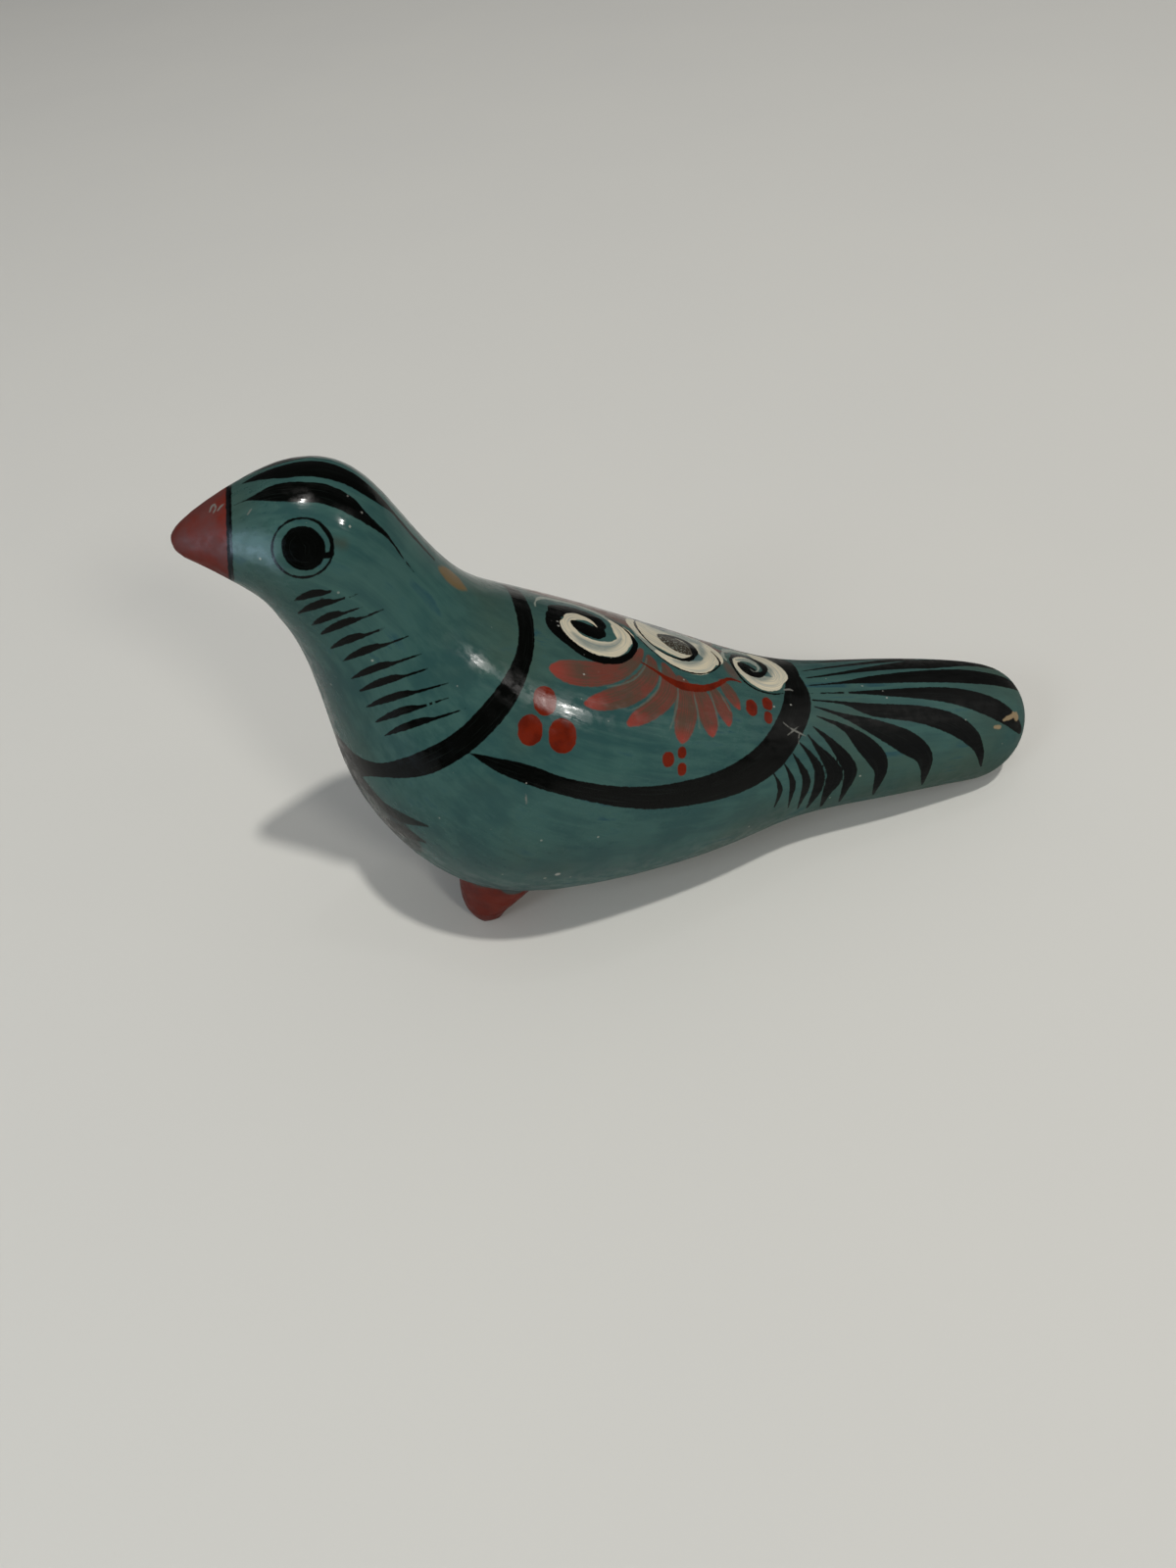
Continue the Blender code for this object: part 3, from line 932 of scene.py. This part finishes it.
# %% Lay the strong coats
brick_color = lay_over(BRICK, BRICK_DARK, ramp(noise(place, 300), 0.4, 0.7))
coats = lay_over(coats, brick_color, coat_of("brick"))
coats = lay_over(coats, SMEAR, coat_of("wash", 0.7, 0.8))
coats = lay_over(coats, BLACK, coat_of("smear", 0.25, 0.9))
black_color = lay_over(BLACK, GREY_BLACK, ramp(bristles, 0.52, 0.8, 0.0, 0.7))
coats = lay_over(coats, black_color, coat_of("black"))
white_color = lay_over(WHITE, WHITE_GREY, ramp(bristles, 0.42, 0.66))
coats = lay_over(coats, THIN_WHITE, coat_of("thin", 0.12, 0.9))
coats = lay_over(coats, white_color, coat_of("white"))
coats = lay_over(coats, MIST, coat_of("haze", 0.8, 0.75))
core_color = lay_over(CORE, THIN_WHITE, ramp(noise(place, 2200, detail=1), 0.54, 0.68, 0.0, 0.8))
coats = lay_over(coats, core_color, coat_of("core"))
coats = lay_over(coats, BLACK, coat_of("line", 0.10))
coats = lay_over(coats, THIN_WHITE, coat_of("tail", 0.10))
print("with the strong coats there are", len(nodes), "nodes")

# %% [markdown]
# The beak and the feet get their brick red, with a black line round the beak's root. A dark teal
# line of painted shade goes into the fold at the foot, and the wear comes over everything: scuffs,
# the bare chip, and specks of dust.

# %% Paint the beak and the feet, and add the wear
beak_depth = combine(depth_of("beak"), edge_noise)
beak_color = lay_over(BRICK, BEAK_ROSE, ramp(noise(place, 120, detail=4), 0.36, 0.6))
coats = lay_over(coats, beak_color, ramp(beak_depth, -0.1, 0.1))
beak_line = ramp(combine(beak_depth, 0, "ABSOLUTE"), 0.42, 0.6, 1.0, 0.0)
coats = lay_over(coats, BLACK, beak_line)
coats = lay_over(coats, brick_color, ramp(combine(depth_of("foot"), edge_noise), -0.15, 0.15))
# Painted shade: a dark teal line along the fold where the foot meets the belly.
coats = lay_over(coats, SLIP_DEEP, coat_of("fold_shade", 0.4, 0.8))
coats = lay_over(coats, SCUFF, coat_of("scuff", 0.16, 0.9))
coats = lay_over(coats, TAN, coat_of("chip", 0.2, 0.9))
coats = lay_over(coats, SPECK, coat_of("speck", 0.16, 0.9))
print("with the wear there are", len(nodes), "nodes")

# %% [markdown]
# Dust and pinholes leave tiny pale grains. A cell pattern scatters them, and only a few of its cells,
# picked by chance, hold one.

# %% Scatter the grains and join the colour
grains = node("TexVoronoi", Vector=place, Scale=420)
grain_size = ramp(grains.outputs["Distance"], 0.07, 0.14, 1.0, 0.0)
grain_chance = node("SeparateXYZ", Vector=grains.outputs["Color"]).outputs["X"]
grain_here = combine(grain_size, ramp(grain_chance, 0.93, 0.94, 0.0, 0.6), "MULTIPLY")
coats = lay_over(coats, WHITE_GREY, grain_here)
links.new(coats, shader.inputs["Base Color"])
print("the colour takes", len(nodes), "nodes")

# %% [markdown]
# Burnished clay shines where the stone pressed and is dull elsewhere. The back shines most, and the
# belly, the tail, the beak and the face are duller, because a stone can't be drawn there so well.
# Its fine furrows are far too small for the net, so they are a very faint bump.

# %% Polish the clay
shader.inputs["Specular IOR Level"].default_value = 0.11
handled = noise(place, 420, detail=3)
polish = ramp(combine(streaks, handled), 0.82, 1.18, 0.09, 0.26)
xyz = node("SeparateXYZ", Vector=place).outputs
dull_below = ramp(xyz["Z"], 0.020, 0.060, 0.28, 0.0)
dull_tail = ramp(xyz["X"], 0.010, 0.035, 0.0, 0.22)
dull_beak = ramp(beak_depth, -0.1, 0.1, 0.0, 0.25)
dull_face = ramp(xyz["X"], -0.074, -0.066, 0.16, 0.0)
dullness = combine(combine(dull_below, dull_tail), combine(dull_beak, dull_face))
links.new(combine(polish, dullness), shader.inputs["Roughness"])
furrows = noise(rubbed, 1.0, stretch=(0.05, 0.9, 0.9), detail=2)
bump = node("Bump", Strength=0.12, Distance=0.0002, Height=furrows)
links.new(bump.outputs["Normal"], shader.inputs["Normal"])
print("the material has", len(nodes), "nodes")

# %% [markdown]
# The painted skin now takes the solid bird's place. It rides on the bird's one body, wears the new
# material in its one slot, and the solid bird is hidden.

# %% Give the skin its material and its place
skin.data.materials.clear()
skin.data.materials.append(material)
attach(skin, "root")
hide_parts("bird")
print("the skin wears", skin.data.materials[0].name)

# %% [markdown]
# The bird stands on a plain pale table. A smooth floor with a faint unevenness is enough, because it
# only has to catch the shadow and throw soft light up under the belly.

# %% Lay the table
bpy.ops.object.select_all(action="DESELECT")
bpy.ops.mesh.primitive_plane_add(size=6, location=(0, 0, 0))
table = bpy.context.object
table.name = "table"
table_top = bpy.data.materials.new("pale table")
table_top.use_nodes = True
table_nodes, table_links = table_top.node_tree.nodes, table_top.node_tree.links
table_place = table_nodes.new("ShaderNodeTexCoord").outputs["Object"]
table_noise = table_nodes.new("ShaderNodeTexNoise")
table_noise.inputs["Scale"].default_value = 9.0
table_noise.inputs["Detail"].default_value = 4.0
table_tint = table_nodes.new("ShaderNodeMix")
table_tint.data_type = "RGBA"
table_tint.inputs[6].default_value = (0.64, 0.632, 0.598, 1)
table_tint.inputs[7].default_value = (0.665, 0.655, 0.612, 1)
table_links.new(table_place, table_noise.inputs["Vector"])
table_links.new(table_noise.outputs["Fac"], table_tint.inputs[0])
table_links.new(table_tint.outputs[2], table_nodes["Principled BSDF"].inputs["Base Color"])
table_nodes["Principled BSDF"].inputs["Roughness"].default_value = 0.85
table.data.materials.append(table_top)
print("the table is laid")

# %% [markdown]
# A lamp high above and a larger fill lamp on the camera's side shape the bird and its soft shadow, and
# a weak cool fill comes from the left. Two small lamps make only the glints on the head and the wing,
# and two cool windows give the head its bluish sheen. So each lamp either lights the clay or shows in
# its gloss, and the shadow and the glints can be set apart from each other.

# %% Light the bird
# Each lamp has its direction, distance, size, power, tint and use.
LAMPS = [
    ("key lamp", (0.118, -0.294, 0.949), 3.0, 0.15, 42.0, (1.0, 0.98, 0.94), "shade"),
    ("near fill lamp", (0.336, -0.785, 0.519), 3.0, 0.45, 19.5, (1.0, 0.97, 0.92), "shade"),
    ("left fill lamp", (-0.62, -0.50, 0.60), 2.0, 0.50, 4.2, (0.88, 0.95, 1.0), "shade"),
    ("overhead glint", (-0.02, 0.03, 1.0), 1.5, 0.05, 13.0, (1.0, 0.97, 0.93), "gloss"),
    ("wing glint", (0.72, -0.37, 0.58), 1.2, 0.05, 5.5, (1.0, 0.97, 0.93), "gloss"),
    ("low cool window", (-0.88, -0.42, 0.05), 1.2, 0.60, 13.0, (0.58, 0.80, 1.0), "gloss"),
    ("high cool window", (-0.86, -0.42, 0.42), 1.2, 0.60, 11.0, (0.58, 0.80, 1.0), "gloss"),
]
AIM = Vector((0, 0, 0.05))
for name, direction, distance, size, power, tint, use in LAMPS:
    bpy.ops.object.light_add(type="AREA")
    lamp = bpy.context.object
    lamp.name = name
    lamp.location = AIM + Vector(direction).normalized() * distance
    lamp.rotation_euler = Vector(direction).to_track_quat("Z", "Y").to_euler()
    lamp.data.shape = "DISK"
    lamp.data.size = size
    lamp.data.energy = power
    lamp.data.color = tint
    lamp.visible_glossy = use == "gloss"
    lamp.visible_diffuse = use == "shade"
print("there are", len(LAMPS), "lamps")

# %% [markdown]
# The rest of the light is the room's own, soft and from all round. Polished clay mirrors a plain pale
# room as a milky veil, which the photograph doesn't show, so the room is much darker in the gloss.

# %% Fill the room with soft light
ROOM_LIGHT = 0.28
ROOM_REFLECTION = 0.04
world = bpy.data.worlds.new("soft room")
bpy.context.scene.world = world
world.use_nodes = True
room = world.node_tree.nodes["Background"]
room.inputs["Color"].default_value = (0.97, 0.98, 1.0, 1)
ray = world.node_tree.nodes.new("ShaderNodeLightPath")
level = world.node_tree.nodes.new("ShaderNodeMapRange")
level.inputs["To Min"].default_value = ROOM_LIGHT
level.inputs["To Max"].default_value = ROOM_REFLECTION
world.node_tree.links.new(ray.outputs["Is Glossy Ray"], level.inputs["Value"])
world.node_tree.links.new(level.outputs["Result"], room.inputs["Strength"])
bpy.context.scene.view_settings.view_transform = "Standard"
print("the room's light is", ROOM_LIGHT, "and its reflection", ROOM_REFLECTION)
